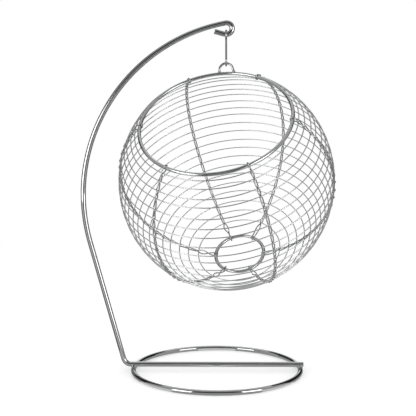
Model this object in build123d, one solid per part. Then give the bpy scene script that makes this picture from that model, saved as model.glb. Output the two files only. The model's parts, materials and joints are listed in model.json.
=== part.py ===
# Hanging fruit basket: a ball-shaped wire basket that hangs by an S-hook from a bent-rod stand.
# Millimetres. +Z is up and the stand rests on Z = 0, with the middle of the base ring at the origin.
# +X runs along the foot bar, away from the leg. The mouth of the basket leans towards -Y.
from build123d import *
from math import asin, cos, degrees, radians, sin, sqrt, tan
import os

os.makedirs("parts", exist_ok=True)

# Stand: one bent rod on a base ring of the same rod
rod_diameter = 6.0
base_ring_radius = 97.0
base_weld_set_down = 0.9
base_weld_radius = 3.7
foot_bar_overhang = 3.8
foot_corner_reach = 9.8
foot_bend_radius = 9.0
leg_lean = 15.3
leg_length = 142.5
arm_radius = 199.2
arm_turn = 94.7
hook_bend_radius = 6.4
hook_seat_length = 0.6
stub_bend_radius = 8.0
stub_rise = 15.0
stub_length = 11.2
rod_end_chamfer = 0.5

# S-hook
s_hook_diameter = 2.2
s_hook_height = 41.5
s_hook_loop_radius = 5.6
s_hook_tail_turn = 20.0
s_hook_end_chamfer = 0.3
hang_clearance = 0.3

# Basket: a ball of thin hoops, held by ribs of twisted wire between a mouth ring and a closing ring.
# The ball is a little longer along the mouth's axis, the mouth ring lies a little inside the ball,
# and the hoops drift to the leg's side as they go down, by a share of their depth.
ball_radius = 121.6
ball_half_height = 125.6
mouth_angle = 44.05
mouth_inset = 1.9
closing_angle = 166.0
side_drift_share = 0.014
mouth_ring_diameter = 4.0
closing_ring_diameter = 4.0
hoop_diameter = 1.2

# Each rib is one folded wire. Its two legs lie side by side, and change sides where they pinch a hoop.
rib_wire_diameter = 1.4
pinch_clearance = 0.06
leg_gap = 0.8
leg_lift = 0.3
crossing_slope = 35.0
crossing_reach_share = 2.2
rib_tail_length = 2.5
rib_weld_radius = 2.9

# Where each hoop crosses the ribs, as a share of the way from the mouth ring to the closing ring
hoop_place_shares = [
    0.024, 0.057, 0.097, 0.130, 0.177, 0.219, 0.258, 0.303, 0.347, 0.385, 0.433,
    0.476, 0.522, 0.562, 0.603, 0.646, 0.687, 0.729, 0.771, 0.820, 0.866, 0.916,
]

# Ribs stand evenly round the ball from the first one's place, and each is bent a little out of its own
first_rib_azimuth = 123.0
rib_drifts = [-1.1, 3.1, -0.8, 1.9, -0.7, 3.5]

# Eye that the basket hangs by, on top of the mouth ring: a bow with one upright and one slanted leg
eye_wire_diameter = 2.6
eye_bend_radius = 7.7
eye_bend_height = 4.2
eye_slant = 18.0
eye_weld_radius = 2.1

# How the hung basket lies: the mouth leans to the front and turns a little to the leg's side
basket_lean = 39.5
basket_turn = -14.1
eye_azimuth = 91.9

rod_radius = rod_diameter / 2
s_hook_radius = s_hook_diameter / 2
mouth_ring_wire_radius = mouth_ring_diameter / 2
closing_ring_wire_radius = closing_ring_diameter / 2
hoop_wire_radius = hoop_diameter / 2
rib_wire_radius = rib_wire_diameter / 2
eye_wire_radius = eye_wire_diameter / 2


def go_straight(last, length):
    """A straight run that carries on from the end of the last one."""
    return Line(last @ 1, last @ 1 + (last % 1) * length)


def go_round(last, radius, turn):
    """A bend that carries on from the end of the last run, with a positive turn to the left."""
    return JernArc(last @ 1, last % 1, radius, turn)


def wire_along(route, radius):
    """Round wire that follows a route."""
    section = Plane(origin=route @ 0, z_dir=route % 0) * Circle(radius)
    return sweep(section, path=route)


def blunt_ends(wire, size):
    """Take the sharp rims off the two flat cut ends of a wire."""
    return chamfer(wire.faces().filter_by(GeomType.PLANE).edges(), size)


def save(shape, node):
    """Write one sub-part."""
    shape.label = node
    export_step(shape, f"parts/{node}.step")


# Stand rod, drawn in the upright plane through the foot bar from the bar's free end to the stub's tip
ring_height = rod_radius
bar_height = ring_height + rod_diameter - base_weld_set_down
foot_turn = 90 - leg_lean
foot_corner_x = -base_ring_radius - foot_corner_reach
foot_bend_x = foot_corner_x + foot_bend_radius * tan(radians(foot_turn / 2))
arm_end_heading = 90 + leg_lean - arm_turn

bar_run = Line((base_ring_radius + foot_bar_overhang, bar_height), (foot_bend_x, bar_height))
foot_run = go_round(bar_run, foot_bend_radius, -foot_turn)
leg_run = go_straight(foot_run, leg_length)
arm_run = go_round(leg_run, arm_radius, -arm_turn)
hook_run = go_round(arm_run, hook_bend_radius, -(180 + arm_end_heading))
seat_run = go_straight(hook_run, hook_seat_length)
rise_run = go_round(seat_run, stub_bend_radius, -stub_rise)
stub_run = go_straight(rise_run, stub_length)
rod_route = Plane.XZ * Wire([
    edge for run in (bar_run, foot_run, leg_run, arm_run, hook_run, seat_run, rise_run, stub_run)
    for edge in run.edges()
])
stand_rod = blunt_ends(wire_along(rod_route, rod_radius), rod_end_chamfer)
seat_middle = seat_run @ 0.5

# Base ring, with a saddle pressed into it at each crossing of the foot bar, and a weld around each crossing
whole_ring = Pos(0, 0, ring_height) * Rot(0, 0, 90) * Torus(base_ring_radius, rod_radius)
straight_bar = Pos(0, 0, bar_height) * Rot(0, 90, 0) * Cylinder(rod_radius, 2 * whole_ring.bounding_box().size.X)
weld_height = (ring_height + bar_height) / 2
base_welds = Compound([
    Pos(side * base_ring_radius, 0, weld_height) * Sphere(base_weld_radius) - whole_ring - straight_bar
    for side in (-1, 1)
])
base_ring = whole_ring - straight_bar

# S-hook, in the plane across the seat: its top loop rests on the seat and its bottom loop holds the eye
top_loop_height = seat_middle.Y + rod_radius + hang_clearance + s_hook_radius - s_hook_loop_radius
loop_spacing = s_hook_height - s_hook_diameter - 2 * s_hook_loop_radius
shank_slant = degrees(asin(2 * s_hook_loop_radius / loop_spacing))
shank_length = sqrt(loop_spacing**2 - (2 * s_hook_loop_radius)**2)
tail_angle = 180 + s_hook_tail_turn
loop_turn = tail_angle + shank_slant
tail_start = Vector(
    s_hook_loop_radius * cos(radians(tail_angle)),
    top_loop_height + s_hook_loop_radius * sin(radians(tail_angle)),
)
tail_heading = Vector(cos(radians(tail_angle - 90)), sin(radians(tail_angle - 90)))
top_loop_run = JernArc(tail_start, tail_heading, s_hook_loop_radius, -loop_turn)
shank_run = go_straight(top_loop_run, shank_length)
bottom_loop_run = go_round(shank_run, s_hook_loop_radius, loop_turn)
s_hook_route = Pos(seat_middle.X, 0, 0) * (Plane.YZ * Wire([
    edge for run in (top_loop_run, shank_run, bottom_loop_run) for edge in run.edges()
]))
s_hook = blunt_ends(wire_along(s_hook_route, s_hook_radius), s_hook_end_chamfer)
bottom_loop_low = top_loop_height - loop_spacing - s_hook_loop_radius


def outward_direction(polar, azimuth):
    """Straight out of the ball: polar is counted from the mouth's axis, in degrees."""
    level = ball_half_height * sin(radians(polar))
    return Vector(
        level * cos(radians(azimuth)),
        level * sin(radians(azimuth)),
        ball_radius * cos(radians(polar)),
    ).normalized()


def down_direction(polar, azimuth):
    """Along a rib, away from the mouth."""
    level = ball_radius * cos(radians(polar))
    return Vector(
        level * cos(radians(azimuth)),
        level * sin(radians(azimuth)),
        -ball_half_height * sin(radians(polar)),
    ).normalized()


def ball_point(polar, azimuth, outward=0.0):
    """A point beside the ball's surface."""
    level = ball_radius * sin(radians(polar))
    height = ball_half_height * cos(radians(polar))
    surface = Vector(level * cos(radians(azimuth)), level * sin(radians(azimuth)), height)
    return surface + outward_direction(polar, azimuth) * outward + Vector(side_drift_share * height, 0, 0)


def side_direction(azimuth):
    """Along a hoop."""
    return Vector(-sin(radians(azimuth)), cos(radians(azimuth)), 0)


def arc_pair(start, start_heading, end, end_heading):
    """Two arcs that join two points smoothly, each leaving its end along the heading there."""
    chord = end - start
    both = start_heading + end_heading
    spread = 2 * (1 - start_heading.dot(end_heading))
    along = chord.dot(both)
    reach = (sqrt(along**2 + spread * chord.dot(chord)) - along) / spread
    middle = (start + start_heading * reach + end - end_heading * reach) / 2
    first = TangentArc(start, middle, tangent=start_heading)
    return [first, TangentArc(middle, end, tangent=first % 1)]


def ring_radius(polar, outward=0.0):
    """How far from its own middle a ring at one level of the ball runs."""
    return ball_radius * sin(radians(polar)) + outward_direction(polar, 0).X * outward


def hoop_ring(polar, wire_radius, outward=0.0):
    """A closed ring of wire at one level of the ball, with its seam on the far side from the eye."""
    height = ball_half_height * cos(radians(polar))
    middle = Pos(side_drift_share * height, 0, height + outward_direction(polar, 0).Z * outward)
    return middle * Rot(0, 0, eye_azimuth + 180) * Torus(ring_radius(polar, outward), wire_radius)


# Rings and hoops, in the basket's own frame: its middle at the origin and its mouth upwards
hoop_polars = [mouth_angle + share * (closing_angle - mouth_angle) for share in hoop_place_shares]
mouth_ring = hoop_ring(mouth_angle, mouth_ring_wire_radius, -mouth_inset)
closing_ring = hoop_ring(closing_angle, closing_ring_wire_radius)
hoops = [hoop_ring(polar, hoop_wire_radius) for polar in hoop_polars]

# Ribs: where the legs pinch each hoop, and where they lie side by side between two hoops
hoop_pinch = hoop_wire_radius + rib_wire_radius + pinch_clearance
mouth_pinch = mouth_ring_wire_radius + rib_wire_radius + pinch_clearance
closing_pinch = closing_ring_wire_radius + rib_wire_radius + pinch_clearance
leg_offset = rib_wire_radius + leg_gap / 2
crossing_turn = degrees(crossing_reach_share * hoop_pinch / ball_radius)


def rib_leg(azimuth, face):
    """One leg of a rib, from the mouth ring down: face is 1 where it starts outside the ring, else -1."""
    side = side_direction(azimuth)
    place = ball_point(mouth_angle, azimuth, face * mouth_pinch - mouth_inset)
    heading = down_direction(mouth_angle, azimuth)
    runs = []
    for polar in hoop_polars:
        if runs:
            landing = ball_point(polar - crossing_turn, azimuth, face * leg_lift) - side * (face * leg_offset)
            level_run = Line(take_off, landing)
            runs += arc_pair(place, heading, take_off, level_run % 0) + [level_run]
            place, heading = landing, level_run % 1
        crossing = ball_point(polar, azimuth, face * hoop_pinch)
        sideways = side * (face * sin(radians(crossing_slope)))
        slanted = down_direction(polar, azimuth) * cos(radians(crossing_slope)) + sideways
        runs += arc_pair(place, heading, crossing, slanted)
        place, heading = crossing, slanted
        take_off = ball_point(polar + crossing_turn, azimuth, face * leg_lift) + side * (face * leg_offset)
        face = -face
    last_point = ball_point(closing_angle, azimuth, face * closing_pinch)
    runs += arc_pair(place, heading, last_point, down_direction(closing_angle, azimuth))
    return runs + [go_straight(runs[-1], rib_tail_length)]


def rib(azimuth):
    """A rib's wire: down one leg's route backwards, over the mouth ring and down the other leg."""
    outer = rib_leg(azimuth, 1)
    inner = rib_leg(azimuth, -1)
    ring_point = ball_point(mouth_angle, azimuth, -mouth_inset)
    crown = ring_point - down_direction(mouth_angle, azimuth) * mouth_pinch
    fold = ThreePointArc(outer[0] @ 0, crown, inner[0] @ 0)
    route = Wire([edge for run in outer + [fold] + inner for edge in run.edges()])
    return wire_along(route, rib_wire_radius)


rib_step = 360 / len(rib_drifts)
rib_azimuths = [first_rib_azimuth + place * rib_step + drift for place, drift in enumerate(rib_drifts)]
ribs = [rib(azimuth) for azimuth in rib_azimuths]


def rib_end(azimuth, face):
    """The end of one leg, from the last hoop on."""
    last_runs = rib_leg(azimuth, face)[-3:]
    return wire_along(Wire([edge for run in last_runs for edge in run.edges()]), rib_wire_radius)


rib_welds = Compound([
    Location(ball_point(closing_angle, azimuth)) * Sphere(rib_weld_radius) - closing_ring
    - rib_end(azimuth, 1) - rib_end(azimuth, -1)
    for azimuth in rib_azimuths
])

# Eye: a bow of wire that stands on the mouth ring, straight out of the ball
slanted_leg_length = (eye_bend_height + eye_bend_radius * sin(radians(eye_slant))) / cos(radians(eye_slant))
slanted_reach = eye_bend_radius * cos(radians(eye_slant)) + slanted_leg_length * sin(radians(eye_slant))
eye_half_span = (eye_bend_radius + slanted_reach) / 2
bow_shift = eye_half_span - eye_bend_radius
mouth_ring_radius = ring_radius(mouth_angle, -mouth_inset)
foot_inset = mouth_ring_radius - sqrt(mouth_ring_radius**2 - eye_half_span**2)
eye_foot = ball_point(mouth_angle, eye_azimuth, -mouth_inset) - outward_direction(90, eye_azimuth) * foot_inset
eye_plane = Plane(
    origin=eye_foot,
    x_dir=side_direction(eye_azimuth),
    z_dir=down_direction(mouth_angle, eye_azimuth),
)
slanted_leg_run = Line(
    (-eye_half_span, 0),
    (slanted_leg_length * sin(radians(eye_slant)) - eye_half_span, slanted_leg_length * cos(radians(eye_slant))),
)
eye_bow_run = go_round(slanted_leg_run, eye_bend_radius, eye_slant - 180)
upright_leg_run = go_straight(eye_bow_run, eye_bend_height)
eye_route = eye_plane * Wire([
    edge for run in (slanted_leg_run, eye_bow_run, upright_leg_run) for edge in run.edges()
])
hanging_eye = wire_along(eye_route, eye_wire_radius) - mouth_ring
eye_welds = Compound([
    eye_plane.location * Pos(place, mouth_ring_wire_radius) * Rot(0, 0, 90) * Sphere(eye_weld_radius)
    - hanging_eye - mouth_ring
    for place in (eye_half_span, mouth_ring_wire_radius * tan(radians(eye_slant)) - eye_half_span)
])

# The basket hangs with its eye on the bottom loop of the S-hook
mouth_direction = Vector(
    sin(radians(basket_lean)) * sin(radians(basket_turn)),
    -sin(radians(basket_lean)) * cos(radians(basket_turn)),
    cos(radians(basket_lean)),
)
side_of_mouth = Vector(cos(radians(basket_turn)), sin(radians(basket_turn)), 0)
eye_apex = eye_foot + side_direction(eye_azimuth) * bow_shift
eye_apex += outward_direction(mouth_angle, eye_azimuth) * (eye_bend_height + eye_bend_radius)
hung_apex = Vector(seat_middle.X, 0, bottom_loop_low + s_hook_radius + hang_clearance + eye_wire_radius)
turned_frame = Plane(origin=(0, 0, 0), x_dir=side_of_mouth, z_dir=mouth_direction)
ball_middle = hung_apex - turned_frame.from_local_coords(eye_apex)
basket_place = Plane(origin=ball_middle, x_dir=side_of_mouth, z_dir=mouth_direction).location

# Sub-parts: the stand and the S-hook stand where they were drawn, and the basket's pieces are hung
save(stand_rod, "stand_rod")
save(base_ring, "base_ring")
save(base_welds, "base_welds")
save(s_hook, "s_hook")
save(basket_place * hanging_eye, "hanging_eye")
save(basket_place * eye_welds, "eye_welds")
save(basket_place * mouth_ring, "mouth_ring")
save(basket_place * closing_ring, "closing_ring")
save(basket_place * rib_welds, "rib_welds")
for number, wire in enumerate(ribs, start=1):
    save(basket_place * wire, f"rib_{number}")
for number, hoop in enumerate(hoops, start=1):
    save(basket_place * hoop, f"hoop_{number:02d}")

print("swing axis, along X, through", seat_middle.X, 0, seat_middle.Y)
print("sway axis, along Y, through", seat_middle.X, 0, bottom_loop_low)
print("middle of the ball", ball_middle)
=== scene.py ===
"""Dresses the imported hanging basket: chrome, weld beads and a plain white studio round it."""

import json
from math import cos, radians, sin

import bmesh
import bpy
from bpy.props import FloatProperty, FloatVectorProperty, IntProperty, PointerProperty
from bpy.types import NodeSocket, Operator, Panel, PropertyGroup
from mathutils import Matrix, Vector, noise


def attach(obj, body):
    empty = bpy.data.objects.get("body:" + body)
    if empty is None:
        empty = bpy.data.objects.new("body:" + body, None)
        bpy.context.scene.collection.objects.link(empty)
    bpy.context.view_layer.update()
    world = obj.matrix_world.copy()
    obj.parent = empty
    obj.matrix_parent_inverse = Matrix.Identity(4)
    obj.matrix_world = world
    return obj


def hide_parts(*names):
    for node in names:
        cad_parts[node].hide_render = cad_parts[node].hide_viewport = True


bl_info = {
    "name": "Hanging Basket Studio",
    "version": (1, 0, 0),
    "blender": (4, 5, 0),
    "location": "View3D > Sidebar > Basket",
    "description": "Finishes a chromed wire basket on its stand and sets up a white studio",
    "category": "Object",
}

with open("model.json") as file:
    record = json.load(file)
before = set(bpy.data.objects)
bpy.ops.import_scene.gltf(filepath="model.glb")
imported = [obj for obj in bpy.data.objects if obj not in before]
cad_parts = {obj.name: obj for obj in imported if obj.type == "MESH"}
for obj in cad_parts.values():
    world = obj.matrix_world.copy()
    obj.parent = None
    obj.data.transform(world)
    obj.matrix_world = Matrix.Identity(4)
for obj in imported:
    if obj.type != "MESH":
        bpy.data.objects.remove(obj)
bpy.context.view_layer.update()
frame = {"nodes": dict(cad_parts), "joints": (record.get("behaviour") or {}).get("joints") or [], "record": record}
nodes = frame["nodes"]
joint_places = {joint["name"]: Vector(joint["pos_m"]) for joint in frame["joints"]}
slot_colours = {entry["slot"]: entry["base_color"] for entry in frame["record"]["materials"]}

SETTINGS_NAME = "basket_studio"
BODY_OF_WELDS = {"base_welds": "stand", "eye_welds": "basket", "rib_welds": "basket"}
HOOP_NODES = sorted(name for name in nodes if name.startswith("hoop_"))
RIB_NODES = sorted(
    name for name in nodes if name.startswith("rib_") and name not in BODY_OF_WELDS
)

# The roughness of each plating where it is clear and where it clouds over, and its share of
# the haze
FINISHES = {
    "rod": (0.04, 0.12, 0.5),
    "hook": (0.12, 0.22, 1.0),
    "ring": (0.2, 0.3, 0.5),
    "hoop": (0.3, 0.36, 0.3),
    "rib": (0.12, 0.24, 1.0),
    "weld": (0.2, 0.38, 1.0),
}
# How far round a joint each plating is rubbed dull, in metres
RUB_REACHES = {"rod": 0.006, "hook": 0.005}
RUBBED_ROUGHNESS = 0.42
RIPPLE_STRENGTH = 0.5

# The noises of the plating and of the floor, and how each is stretched or dulls the metal
PATCH_NOISE = {"Detail": 4.0, "Roughness": 0.6}
PATCH_RANGE = {"From Min": 0.42, "From Max": 0.72}
PATCH_DULLING = {"Value": 0.8, "Saturation": 0.7}
SPECK_NOISE = {"Scale": 1400.0, "Detail": 2.0}
SPECK_RANGE = {"To Min": -0.03, "To Max": 0.03}
RIPPLE_NOISE = {"Detail": 3.0, "Roughness": 0.5}
SCUFF_NOISE = {"Scale": 900.0, "Detail": 5.0, "Roughness": 0.7}
SCUFF_RANGE = {"From Min": 0.38, "From Max": 0.6}
FLOOR_NOISE = {"Scale": 3.0, "Detail": 2.0}
FLOOR_RANGE = {"To Min": 0.98, "To Max": 1.02}
FLOOR_ROUGHNESS = 0.9

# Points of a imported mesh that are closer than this, in metres, are the same point
SAME_POINT = 1e-6
# Height of a lamp's middle, as a share of the lamp's own height
LAMP_LIFT = 0.55
# Cards round the studio, the same on both sides: turns from the front in degrees, the card,
# and the floor before it
CARD_TURNS = (
    (0, 15, "dark", "plain"),
    (15, 30, "dark", "dark"),
    (30, 60, "dim", "lit"),
    (60, 82, "pale", "plain"),
    (82, 104, "pale", "plain"),
    (104, 118, "flag", "plain"),
    (118, 132, "flag", "plain"),
    (132, 150, "flag", "plain"),
    (150, 166, "flag", "plain"),
)

WHITE = (1, 1, 1, 1)
COLOUR, NUMBER, VECTOR = "NodeSocketColor", "NodeSocketFloat", "NodeSocketVector"


# Settings

def colour_property(name, description, default):
    """A plain colour that a user would change."""
    return FloatVectorProperty(
        name=name, description=description, default=default,
        size=3, min=0, max=1, subtype="COLOR",
    )


def share_property(name, description, default):
    """A share from none to all."""
    return FloatProperty(
        name=name, description=description, default=default, min=0, max=1, subtype="FACTOR",
    )


def length_property(name, description, default):
    """A length in metres."""
    return FloatProperty(
        name=name, description=description, default=default,
        min=0, precision=5, subtype="DISTANCE", unit="LENGTH",
    )


def angle_property(name, description, degrees):
    """An angle, whose default is given in degrees."""
    return FloatProperty(
        name=name, description=description, default=radians(degrees),
        subtype="ANGLE", unit="ROTATION",
    )


class ChromeSettings(PropertyGroup):
    rod_colour: colour_property(
        "Rod", "Plating of the stand rod and the base ring", slot_colours["stand_chrome"]
    )
    ring_colour: colour_property(
        "Rings", "Plating of the mouth and closing rings", slot_colours["ring_chrome"]
    )
    rib_colour: colour_property("Ribs", "Plating of the ribs", slot_colours["rib_wire_chrome"])
    hoop_colour: colour_property(
        "Hoops", "Plating of the fine hoops", slot_colours["hoop_wire_chrome"]
    )
    hook_colour: colour_property(
        "Hook", "Plating of the hook and the eye", slot_colours["hook_wire_chrome"]
    )
    weld_colour: colour_property(
        "Welds", "Plating over the weld beads", slot_colours["weld_metal"]
    )
    rub_colour: colour_property(
        "Rubbed plating", "Where hanging parts rub on each other", (0.33, 0.33, 0.34)
    )
    haze: share_property("Haze", "How far the polish clouds over in patches", 0.4)
    haze_size: length_property("Haze size", "Width of the cloudy patches", 0.014)
    ripple_size: length_property("Ripple size", "Width of the ripples in the plating", 0.0045)
    ripple_depth: length_property("Ripple depth", "Depth of the ripples in the plating", 0.000006)


class WeldSettings(PropertyGroup):
    bead_detail: IntProperty(
        name="Bead detail", description="Subdivisions of a bead", default=4, min=2, max=5
    )
    bead_lump: share_property("Lumps", "How uneven a bead is, as a share of its radius", 0.14)
    bead_lumps_across: FloatProperty(
        name="Lumps across", description="How many lumps lie across a bead", default=1.7, min=0.1
    )


class StudioSettings(PropertyGroup):
    floor_colour: colour_property("Floor", "Colour of the floor", (0.82, 0.82, 0.82))
    floor_size: length_property("Floor size", "Side of the square floor", 12.0)
    floor_glow: share_property(
        "Floor glow", "White added to the floor as the camera and the metal see it", 0.34
    )
    fade_start: length_property(
        "Fade start", "Where the floor starts to turn into the white backdrop", 0.3
    )
    fade_end: length_property(
        "Fade end", "Where the floor has turned into the white backdrop", 1.2
    )
    ambient: share_property("Fill", "Strength of the even light from all round", 0.8)
    lamp_power: FloatProperty(
        name="Lamp power", description="Power of each lamp", default=6.0, unit="POWER"
    )
    lamp_width: length_property("Lamp width", "Width of each lamp", 0.7)
    lamp_height: length_property("Lamp height", "Height of each lamp", 0.7)
    lamp_distance: length_property(
        "Lamp distance", "How far each lamp stands from the object", 1.5
    )
    lamp_turn: angle_property("Lamp turn", "How far each lamp stands to the side of the front", 45)
    dark_tone: share_property("Dark card", "Grey of the cards behind the camera", 0.035)
    dim_tone: share_property("Dim card", "Grey of the cards behind the lamps", 0.2)
    pale_tone: share_property("Pale card", "Grey of the side cards", 0.45)
    flag_tone: share_property(
        "Flag", "Grey of the flags towards the back, which draw the dark edges", 0.02
    )
    ceiling_tone: share_property(
        "Ceiling tone", "Grey of the ceiling that the metal reflects", 0.42
    )
    ceiling_back: length_property(
        "Ceiling back", "How far behind the object the ceiling reaches", 0.9
    )
    tabletop_tone: share_property(
        "Tabletop tone", "Grey of the tabletop as the metal reflects it", 0.45
    )
    apron_tone: share_property(
        "Apron tone", "Grey that the metal reflects beyond the tabletop", 0.25
    )
    lit_tone: share_property(
        "Lit floor tone", "Grey of the floor before a lamp, as the metal reflects it", 0.9
    )
    apron_distance: length_property("Apron distance", "How far the tabletop reaches", 0.16)
    apron_lift: length_property(
        "Apron lift", "Height of the tabletop and the apron over the floor", 0.0005
    )
    band_tone: share_property(
        "Band tone", "Grey of the low pale band under the dark cards", 0.6
    )
    band_height: length_property("Band height", "Height of the low pale band", 0.34)
    card_distance: length_property(
        "Card distance", "How far the cards stand from the object", 2.6
    )
    card_height: length_property("Card height", "Height of the cards", 3.2)
    camera_distance: length_property(
        "Camera distance", "From the camera to the point it looks at", 1.1
    )
    camera_target: FloatVectorProperty(
        name="Camera target", description="Point that the camera looks at",
        default=(-0.01033, 0.0, 0.1913), size=3, subtype="XYZ", unit="LENGTH", precision=5,
    )
    camera_height: angle_property("Camera height", "Angle of the camera above the level", 5.92)
    camera_turn: angle_property(
        "Camera turn", "Angle of the camera to the right of the front", 0.42
    )
    camera_lens: FloatProperty(
        name="Focal length", description="Focal length of the camera", default=83.0, unit="CAMERA"
    )


class BasketSettings(PropertyGroup):
    chrome: PointerProperty(type=ChromeSettings)
    welds: PointerProperty(type=WeldSettings)
    studio: PointerProperty(type=StudioSettings)


def settings():
    """The values that a user may change."""
    return getattr(bpy.context.scene, SETTINGS_NAME)


# Node trees

def feed(tree, node, inputs):
    """Gives each input of a node its plain value, or a link from the socket that feeds it."""
    for name, value in inputs.items():
        if isinstance(value, NodeSocket):
            tree.links.new(value, node.inputs[name])
        else:
            node.inputs[name].default_value = value


def new_node(tree, kind, inputs=None, **values):
    """A node of a kind, with its inputs fed."""
    node = tree.nodes.new(kind)
    for name, value in values.items():
        setattr(node, name, value)
    feed(tree, node, inputs or {})
    return node


def combined(tree, operation, first, second, **values):
    """Two numbers taken together by one operation."""
    node = new_node(
        tree, "ShaderNodeMath", {0: first, 1: second}, operation=operation, **values
    )
    return node.outputs["Value"]


def new_group(name, inputs, outputs):
    """An empty shader group, the sockets that it is given and the node that ends it."""
    group = bpy.data.node_groups.new(name, "ShaderNodeTree")
    for direction, sockets in (("INPUT", inputs), ("OUTPUT", outputs)):
        for label, kind in sockets.items():
            group.interface.new_socket(label, in_out=direction, socket_type=kind)
    return group, group.nodes.new("NodeGroupInput").outputs, group.nodes.new("NodeGroupOutput")


def plating_group():
    """Polished plating with duller, cloudy patches, fine specks and ripples."""
    name = "Polished plating"
    if name in bpy.data.node_groups:
        return bpy.data.node_groups[name]
    group, given, result = new_group(
        name,
        {
            "Bright": COLOUR, "Haze": NUMBER, "Haze Scale": NUMBER,
            "Ripple Scale": NUMBER, "Polish": NUMBER, "Cloud": NUMBER,
        },
        {"Color": COLOUR, "Roughness": NUMBER, "Height": NUMBER},
    )
    place = new_node(group, "ShaderNodeTexCoord").outputs["Object"]
    patches = new_node(
        group, "ShaderNodeTexNoise",
        {"Vector": place, "Scale": given["Haze Scale"], **PATCH_NOISE},
    )
    cloudy = new_node(
        group, "ShaderNodeMapRange", {"Value": patches.outputs["Fac"], **PATCH_RANGE},
        interpolation_type="SMOOTHSTEP",
    )
    haze = combined(group, "MULTIPLY", cloudy.outputs["Result"], given["Haze"])
    dulled = new_node(
        group, "ShaderNodeHueSaturation", {"Color": given["Bright"], **PATCH_DULLING}
    )
    tone = new_node(
        group, "ShaderNodeMix",
        {"Factor": haze, "A": given["Bright"], "B": dulled.outputs["Color"]}, data_type="RGBA",
    )
    specks = new_node(group, "ShaderNodeTexNoise", {"Vector": place, **SPECK_NOISE})
    speckled = new_node(
        group, "ShaderNodeMapRange", {"Value": specks.outputs["Fac"], **SPECK_RANGE}
    )
    dull = new_node(
        group, "ShaderNodeMix",
        {"Factor": haze, "A": given["Polish"], "B": given["Cloud"]}, data_type="FLOAT",
    )
    rough = combined(
        group, "ADD", dull.outputs["Result"], speckled.outputs["Result"], use_clamp=True
    )
    ripples = new_node(
        group, "ShaderNodeTexNoise",
        {"Vector": place, "Scale": given["Ripple Scale"], **RIPPLE_NOISE},
    )
    feed(group, result, {
        "Color": tone.outputs["Result"], "Roughness": rough, "Height": ripples.outputs["Fac"],
    })
    return group


def rubbed_group():
    """A mask that is full at a place and fades out round it, broken up by fine scuffs."""
    name = "Rubbed spot"
    if name in bpy.data.node_groups:
        return bpy.data.node_groups[name]
    group, given, result = new_group(name, {"Place": VECTOR, "Reach": NUMBER}, {"Mask": NUMBER})
    place = new_node(group, "ShaderNodeTexCoord").outputs["Object"]
    away = new_node(
        group, "ShaderNodeVectorMath", {0: place, 1: given["Place"]}, operation="DISTANCE"
    )
    near = new_node(
        group, "ShaderNodeMapRange",
        {
            "Value": away.outputs["Value"], "From Max": given["Reach"],
            "To Min": 1.0, "To Max": 0.0,
        },
        interpolation_type="SMOOTHSTEP",
    )
    scuffs = new_node(group, "ShaderNodeTexNoise", {"Vector": place, **SCUFF_NOISE})
    broken = new_node(
        group, "ShaderNodeMapRange", {"Value": scuffs.outputs["Fac"], **SCUFF_RANGE}
    )
    mask = combined(group, "MULTIPLY", near.outputs["Result"], broken.outputs["Result"])
    feed(group, result, {"Mask": mask})
    return group


def new_material(name):
    """A material with its node tree."""
    material = bpy.data.materials.new(name)
    material.use_nodes = True
    return material, material.node_tree


def chrome(kind, rubbed_at=()):
    """Polished plating, scuffed at the places where another part hangs on it."""
    given = settings().chrome
    polish, cloud, haze_share = FINISHES[kind]
    material, tree = new_material(f"{kind}_chrome")
    plating = new_node(
        tree, "ShaderNodeGroup",
        {
            "Bright": (*getattr(given, f"{kind}_colour"), 1),
            "Haze": given.haze * haze_share,
            "Haze Scale": 1 / given.haze_size,
            "Ripple Scale": 1 / given.ripple_size,
            "Polish": polish,
            "Cloud": cloud,
        },
        node_tree=plating_group(),
    ).outputs
    bump = new_node(tree, "ShaderNodeBump", {
        "Strength": RIPPLE_STRENGTH, "Distance": given.ripple_depth, "Height": plating["Height"],
    })
    colour_end, rough_end = plating["Color"], plating["Roughness"]
    for place in rubbed_at:
        spot = new_node(
            tree, "ShaderNodeGroup", {"Place": place, "Reach": RUB_REACHES[kind]},
            node_tree=rubbed_group(),
        )
        mask = spot.outputs["Mask"]
        worn = new_node(
            tree, "ShaderNodeMix",
            {"Factor": mask, "A": colour_end, "B": (*given.rub_colour, 1)}, data_type="RGBA",
        )
        scratched = new_node(
            tree, "ShaderNodeMix",
            {"Factor": mask, "A": rough_end, "B": RUBBED_ROUGHNESS}, data_type="FLOAT",
        )
        colour_end, rough_end = worn.outputs["Result"], scratched.outputs["Result"]
    feed(tree, tree.nodes["Principled BSDF"], {
        "Metallic": 1.0, "Base Color": colour_end, "Roughness": rough_end,
        "Normal": bump.outputs["Normal"],
    })
    return material


def finish_nodes(names, material):
    """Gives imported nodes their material, without touching their meshes."""
    for name in names:
        for slot in nodes[name].material_slots:
            slot.link = "OBJECT"
            slot.material = material


# Weld beads

def new_object(name, shape):
    """An object in the scene whose mesh is a finished bmesh shape, which is then freed."""
    mesh = bpy.data.meshes.new(name)
    shape.to_mesh(mesh)
    shape.free()
    made = bpy.data.objects.new(name, mesh)
    bpy.context.scene.collection.objects.link(made)
    return made


def separate_solids(name):
    """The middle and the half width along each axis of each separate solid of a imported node."""
    shape = bmesh.new()
    shape.from_mesh(nodes[name].data)
    bmesh.ops.remove_doubles(shape, verts=shape.verts, dist=SAME_POINT)
    left = set(shape.verts)
    solids = []
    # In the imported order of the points, so that the solids come in the same order each run
    for start in shape.verts:
        if start not in left:
            continue
        left.remove(start)
        found, waiting = [], [start]
        while waiting:
            vert = waiting.pop()
            found.append(vert.co.copy())
            for edge in vert.link_edges:
                other = edge.other_vert(vert)
                if other in left:
                    left.remove(other)
                    waiting.append(other)
        lowest = Vector(map(min, zip(*found)))
        highest = Vector(map(max, zip(*found)))
        solids.append(((lowest + highest) / 2, (highest - lowest) / 2))
    shape.free()
    return solids


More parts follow.
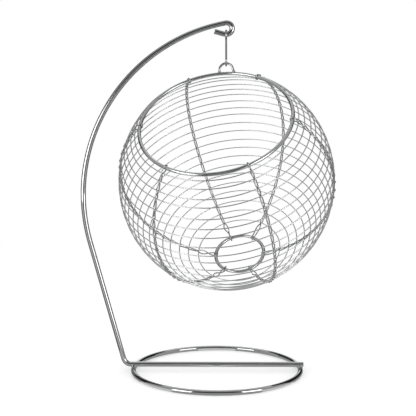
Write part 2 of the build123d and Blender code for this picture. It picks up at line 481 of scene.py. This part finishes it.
def weld_bead(name, node, middle, half_width, shift):
    """One uneven bead of weld metal over a packed weld, its lumps drawn at a shift of their own."""
    given = settings().welds
    shape = bmesh.new()
    bmesh.ops.create_icosphere(shape, subdivisions=given.bead_detail, radius=1.0)
    for vert in shape.verts:
        lump = noise.noise(vert.co * given.bead_lumps_across + Vector((shift, shift, shift)))
        vert.co *= 1 - given.bead_lump + lump * given.bead_lump
    bmesh.ops.scale(shape, vec=half_width, verts=shape.verts)
    bmesh.ops.translate(shape, vec=middle, verts=shape.verts)
    for face in shape.faces:
        face.smooth = True
    bead = new_object(name, shape)
    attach(bead, BODY_OF_WELDS[node])
    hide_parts(node)
    return bead


# Studio

def stage_panel(name, corners, material, seen_by_camera=False):
    """A flat panel of the studio, which only reflections see unless the camera sees it too."""
    shape = bmesh.new()
    shape.faces.new([shape.verts.new(corner) for corner in corners])
    panel = new_object(name, shape)
    panel.data.materials.append(material)
    if not seen_by_camera:
        panel.visible_camera = False
        panel.visible_diffuse = False
        panel.visible_shadow = False
        panel.visible_transmission = False


def glowing(name, tone):
    """A card that the metal reflects at an even grey."""
    material, tree = new_material(name)
    tree.nodes.remove(tree.nodes["Principled BSDF"])
    glow = new_node(tree, "ShaderNodeEmission", {"Color": (tone, tone, tone, 1)})
    feed(tree, tree.nodes["Material Output"], {"Surface": glow.outputs["Emission"]})
    return material


def around(turn, distance, height=0.0):
    """A point at a turn to the right of the front, as the camera's own turn is measured."""
    return Vector((sin(turn) * distance, -cos(turn) * distance, height))


def seen_rays(tree):
    """A mask of the rays that see the white background."""
    path = new_node(tree, "ShaderNodeLightPath").outputs
    direct = combined(tree, "MAXIMUM", path["Is Camera Ray"], path["Is Glossy Ray"])
    return combined(tree, "MAXIMUM", direct, path["Is Transmission Ray"])


class BASKET_OT_finish_stand(Operator):
    """Plates the stand rod and its base ring"""

    bl_idname = "basket.finish_stand"
    bl_label = "Finish Stand"

    def execute(self, context):
        rod = chrome("rod", rubbed_at=[joint_places["hook_swing"]])
        finish_nodes(("stand_rod", "base_ring"), rod)
        return {"FINISHED"}


class BASKET_OT_finish_hook(Operator):
    """Plates the S-hook and the eye of the basket, which rub on each other"""

    bl_idname = "basket.finish_hook"
    bl_label = "Finish Hook and Eye"

    def execute(self, context):
        rubbed_at = [joint_places["hook_swing"], joint_places["basket_sway"]]
        finish_nodes(("s_hook", "hanging_eye"), chrome("hook", rubbed_at))
        return {"FINISHED"}


class BASKET_OT_finish_rings(Operator):
    """Plates the mouth ring and the closing ring"""

    bl_idname = "basket.finish_rings"
    bl_label = "Finish Rings"

    def execute(self, context):
        finish_nodes(("mouth_ring", "closing_ring"), chrome("ring"))
        return {"FINISHED"}


class BASKET_OT_finish_hoops(Operator):
    """Plates the fine hoops"""

    bl_idname = "basket.finish_hoops"
    bl_label = "Finish Hoops"

    def execute(self, context):
        finish_nodes(HOOP_NODES, chrome("hoop"))
        return {"FINISHED"}


class BASKET_OT_finish_ribs(Operator):
    """Plates the ribs, each of one folded wire whose legs cross at every hoop"""

    bl_idname = "basket.finish_ribs"
    bl_label = "Finish Ribs"

    def execute(self, context):
        finish_nodes(RIB_NODES, chrome("rib"))
        return {"FINISHED"}


class BASKET_OT_form_welds(Operator):
    """Forms an uneven bead over each packed weld"""

    bl_idname = "basket.form_welds"
    bl_label = "Form Weld Beads"

    def execute(self, context):
        bead_chrome = chrome("weld")
        for node in BODY_OF_WELDS:
            one_weld = node.removesuffix("s")
            for number, (middle, half_width) in enumerate(separate_solids(node), start=1):
                bead = weld_bead(f"{one_weld}_bead_{number}", node, middle, half_width, number)
                bead.data.materials.append(bead_chrome)
        return {"FINISHED"}


class BASKET_OT_set_studio(Operator):
    """Sets up the floor, the lamps, the cards and the camera"""

    bl_idname = "basket.set_studio"
    bl_label = "Set Up Studio"

    def execute(self, context):
        given = settings().studio
        scene = context.scene
        self.make_world(scene, given)
        self.make_floor(given)
        self.make_cards(given)
        for side, word in ((-1, "left"), (1, "right")):
            self.make_lamp(scene, given, side, word)
        self.make_camera(scene, given)
        scene.view_settings.view_transform = "Standard"
        return {"FINISHED"}

    def make_world(self, scene, given):
        """Air that is white to the camera and the metal, and a weaker even light on the rest."""
        world = bpy.data.worlds.new("studio_air")
        world.use_nodes = True
        scene.world = world
        tree = world.node_tree
        tree.nodes.clear()
        fill, white = (
            new_node(tree, "ShaderNodeBackground", {"Color": WHITE, "Strength": strength})
            for strength in (given.ambient, 1.0)
        )
        mix = new_node(tree, "ShaderNodeMixShader", {
            "Fac": seen_rays(tree), 1: fill.outputs["Background"], 2: white.outputs["Background"],
        })
        new_node(tree, "ShaderNodeOutputWorld", {"Surface": mix.outputs["Shader"]})

    def make_floor(self, given):
        """A pale floor that keeps the object's shadow and fades into a white backdrop."""
        material, tree = new_material("floor_white")
        place = new_node(tree, "ShaderNodeTexCoord").outputs["Object"]
        grain = new_node(tree, "ShaderNodeTexNoise", {"Vector": place, **FLOOR_NOISE})
        drift = new_node(
            tree, "ShaderNodeMapRange", {"Value": grain.outputs["Fac"], **FLOOR_RANGE}
        )
        tint = new_node(
            tree, "ShaderNodeVectorMath",
            {0: given.floor_colour, "Scale": drift.outputs["Result"]}, operation="SCALE",
        )
        matt = tree.nodes["Principled BSDF"]
        feed(tree, matt, {
            "Base Color": tint.outputs["Vector"], "Roughness": FLOOR_ROUGHNESS,
            "Specular IOR Level": 0.0,
        })
        seen = seen_rays(tree)
        glow = new_node(tree, "ShaderNodeEmission", {
            "Color": WHITE, "Strength": combined(tree, "MULTIPLY", seen, given.floor_glow),
        })
        lit = new_node(
            tree, "ShaderNodeAddShader", {0: matt.outputs["BSDF"], 1: glow.outputs["Emission"]}
        )
        away = new_node(tree, "ShaderNodeVectorMath", {0: place}, operation="LENGTH")
        far = new_node(
            tree, "ShaderNodeMapRange",
            {
                "Value": away.outputs["Value"],
                "From Min": given.fade_start, "From Max": given.fade_end,
            },
            interpolation_type="SMOOTHSTEP",
        )
        backdrop = new_node(tree, "ShaderNodeEmission", {"Color": WHITE})
        sweep = new_node(tree, "ShaderNodeMixShader", {
            "Fac": combined(tree, "MULTIPLY", far.outputs["Result"], seen),
            1: lit.outputs["Shader"], 2: backdrop.outputs["Emission"],
        })
        feed(tree, tree.nodes["Material Output"], {"Surface": sweep.outputs["Shader"]})
        half = given.floor_size / 2
        corners = [(-half, -half, 0), (half, -half, 0), (half, half, 0), (-half, half, 0)]
        stage_panel("floor", corners, material, seen_by_camera=True)

    def make_cards(self, given):
        """The grey cards, ceiling and floor that only the metal reflects."""
        cards = {
            kind: glowing(f"{kind}_card", getattr(given, f"{kind}_tone"))
            for kind in ("dark", "dim", "pale", "flag")
        }
        ceiling = glowing("ceiling_grey", given.ceiling_tone)
        lit_floor = glowing("lit_floor_grey", given.lit_tone)
        tabletop = glowing("tabletop_grey", given.tabletop_tone)
        tabletops = {"plain": tabletop, "dark": tabletop, "lit": lit_floor}
        apron = glowing("apron_grey", given.apron_tone)
        aprons = {"plain": apron, "dark": cards["dark"], "lit": lit_floor}
        band = glowing("band_grey", given.band_tone)
        middle = Vector((0, 0, given.apron_lift))
        top = Vector((0, 0, given.card_height))
        for side, word in ((-1, "left"), (1, "right")):
            for number, (start, end, card, floor) in enumerate(CARD_TURNS, start=1):
                turns = [side * radians(start), side * radians(end)]
                foot_1, foot_2 = (around(turn, given.card_distance) for turn in turns)
                edge_1, edge_2 = (around(turn, given.apron_distance) + middle for turn in turns)
                rise = Vector((0, 0, given.band_height if card == "dark" else 0))
                corners = [foot_1 + rise, foot_2 + rise, foot_2 + top, foot_1 + top]
                stage_panel(f"{word}_card_{number}", corners, cards[card])
                if card == "dark":
                    corners = [foot_1, foot_2, foot_2 + rise, foot_1 + rise]
                    stage_panel(f"{word}_band_{number}", corners, band)
                corners = [edge_1, edge_2, foot_2 + middle, foot_1 + middle]
                stage_panel(f"{word}_apron_{number}", corners, aprons[floor])
                corners = [middle, edge_2, edge_1]
                stage_panel(f"{word}_tabletop_{number}", corners, tabletops[floor])
        reach = given.card_distance
        corners = [
            (x, y, given.card_height)
            for x, y in (
                (-reach, -reach), (-reach, given.ceiling_back),
                (reach, given.ceiling_back), (reach, -reach),
            )
        ]
        stage_panel("ceiling_card", corners, ceiling)

    def make_lamp(self, scene, given, side, word):
        """One soft lamp, to the left or the right of the camera."""
        light = bpy.data.lights.new(f"softbox_{word}", "AREA")
        light.shape = "RECTANGLE"
        light.size = given.lamp_width
        light.size_y = given.lamp_height
        light.energy = given.lamp_power
        lamp = bpy.data.objects.new(light.name, light)
        scene.collection.objects.link(lamp)
        lift = given.lamp_height * LAMP_LIFT
        lamp.location = around(side * given.lamp_turn, given.lamp_distance, lift)
        aim = Vector(given.camera_target) - lamp.location
        lamp.rotation_euler = aim.to_track_quat("-Z", "Y").to_euler()

    def make_camera(self, scene, given):
        """The camera, placed to see the object as the photograph shows it."""
        camera = bpy.data.objects.new("camera", bpy.data.cameras.new("camera"))
        scene.collection.objects.link(camera)
        camera.data.lens = given.camera_lens
        height, turn = given.camera_height, given.camera_turn
        back = around(turn, cos(height), sin(height))
        camera.location = Vector(given.camera_target) + back * given.camera_distance
        camera.rotation_euler = (-back).to_track_quat("-Z", "Y").to_euler()
        scene.camera = camera


class BASKET_PT_studio(Panel):
    bl_label = "Hanging Basket"
    bl_idname = "BASKET_PT_studio"
    bl_space_type = "VIEW_3D"
    bl_region_type = "UI"
    bl_category = "Basket"

    def draw(self, context):
        for operator in OPERATORS:
            self.layout.operator(operator.bl_idname)
        given = settings()
        for group in (given.chrome, given.welds, given.studio):
            box = self.layout.box()
            for name in group.__annotations__:
                box.prop(group, name)


OPERATORS = (
    BASKET_OT_finish_stand,
    BASKET_OT_finish_hook,
    BASKET_OT_finish_rings,
    BASKET_OT_finish_hoops,
    BASKET_OT_finish_ribs,
    BASKET_OT_form_welds,
    BASKET_OT_set_studio,
)
SETTINGS = (ChromeSettings, WeldSettings, StudioSettings, BasketSettings)
CLASSES = (*SETTINGS, *OPERATORS, BASKET_PT_studio)


def register():
    for cls in CLASSES:
        bpy.utils.register_class(cls)
    setattr(bpy.types.Scene, SETTINGS_NAME, PointerProperty(type=BasketSettings))


def unregister():
    delattr(bpy.types.Scene, SETTINGS_NAME)
    for cls in reversed(CLASSES):
        bpy.utils.unregister_class(cls)


def main():
    register()
    bpy.ops.basket.finish_stand()
    bpy.ops.basket.finish_hook()
    bpy.ops.basket.finish_rings()
    bpy.ops.basket.finish_hoops()
    bpy.ops.basket.finish_ribs()
    bpy.ops.basket.form_welds()
    bpy.ops.basket.set_studio()
    bpy.context.view_layer.update()


if __name__ == "__main__":
    main()
